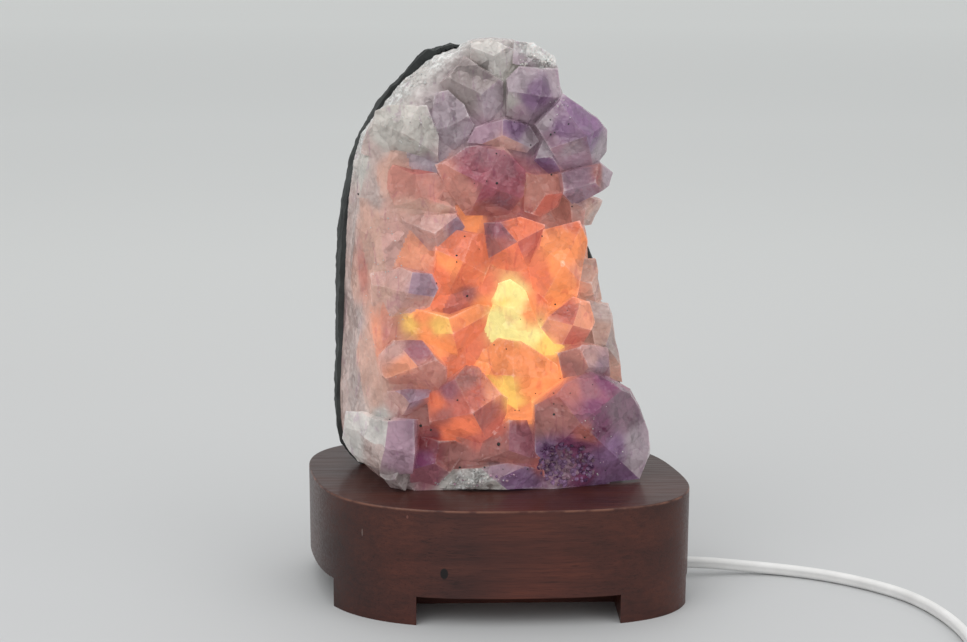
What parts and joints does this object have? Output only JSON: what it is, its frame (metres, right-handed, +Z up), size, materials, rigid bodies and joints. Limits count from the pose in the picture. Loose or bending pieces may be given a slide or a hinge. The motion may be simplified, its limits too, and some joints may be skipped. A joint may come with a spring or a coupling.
{
  "type": "crystal lamp",
  "caption": "Table lamp: a lit amethyst geode piece standing on a dark oval wooden base with corner feet, on a white mains cord with a rocker switch, put away in a coil, and a round-pin plug.",
  "frame": {"origin": "on the table under the middle of the wooden base", "axes": "+X along the base towards the cord, -Y towards the crystal front, +Z up"},
  "size_m": [0.4791, 0.222, 0.2778],
  "materials": {
    "stained_wood": "dark red-brown stain under a thin satin lacquer",
    "amethyst": "translucent violet, grey and milky quartz, lit from inside",
    "dark_rind": "rough dark green-black rind",
    "plated_steel": "zinc plated",
    "holder_plastic": "moulded, satin",
    "ceramic_white": "glazed insulator",
    "brass_contact": "stamped",
    "solder": "dull grey",
    "dark_insulator": "vitreous black",
    "bulb_cap_metal": "bright pressed metal",
    "bulb_glass": "clear",
    "cord_white": "satin white sheath",
    "switch_white": "fine satin moulding",
    "switch_rocker_white": "smooth gloss",
    "wire_brown": "brown core insulation",
    "wire_blue": "blue core insulation"
  },
  "bodies": {
    "root": {"base_block": "stained_wood", "lampholder_strap": "plated_steel", "strap_screws": "plated_steel", "holder_nipple": "plated_steel", "nipple_nuts": "plated_steel", "holder_dome": "holder_plastic", "holder_skirt": "holder_plastic", "holder_core": "ceramic_white", "thread_sleeve": "brass_contact", "terminal_screws": "brass_contact", "cord_relief": "cord_white", "cord_inner": "cord_white", "wire_live": "wire_brown", "wire_neutral": "wire_blue", "cord_lead": "cord_white", "switch_lower_housing": "switch_white", "switch_upper_housing": "switch_white", "switch_terminals": "brass_contact", "switch_screws": "plated_steel", "switch_wires": "wire_brown", "cord_mid": "cord_white", "cord_coil": "cord_white", "cord_tail": "cord_white", "plug_body": "switch_white", "plug_pins": "bulb_cap_metal"},
    "crystal": {"crystal_cluster": "amethyst", "back_coat": "dark_rind"},
    "contact": {"centre_contact": "brass_contact"},
    "bulb": {"bulb_tip": "solder", "bulb_insulator": "dark_insulator", "bulb_cap": "bulb_cap_metal", "bulb_glass": "bulb_glass", "bulb_stem": "bulb_glass", "bulb_leads": "solder", "bulb_filament": "solder"},
    "rocker": {"switch_rocker": "switch_rocker_white", "switch_blade": "brass_contact"}
  },
  "joints": [
    {"name": "crystal_lift", "type": "slide", "parent": "root", "child": "crystal", "axis": [0, 0, 1], "range_m": [0, 0.1]},
    {"name": "contact_travel", "type": "slide", "parent": "root", "child": "contact", "axis": [0, 0, 1], "range_m": [0, 0.0029]},
    {"name": "bulb_turn", "type": "hinge", "parent": "contact", "child": "bulb", "pos_m": [0.004, 0.006, 0.1], "axis": [0, 0, 1], "range_deg": [0, 360]},
    {"name": "rocker_tilt", "type": "hinge", "parent": "root", "child": "rocker", "pos_m": [0.295, -0.144, 0.0125], "axis": [0, -1, 0], "range_deg": [0, 14]}
  ],
  "couplings": [
    {"joint": "contact_travel", "follows": "bulb_turn", "m_per_rad": 0.00045}
  ]
}
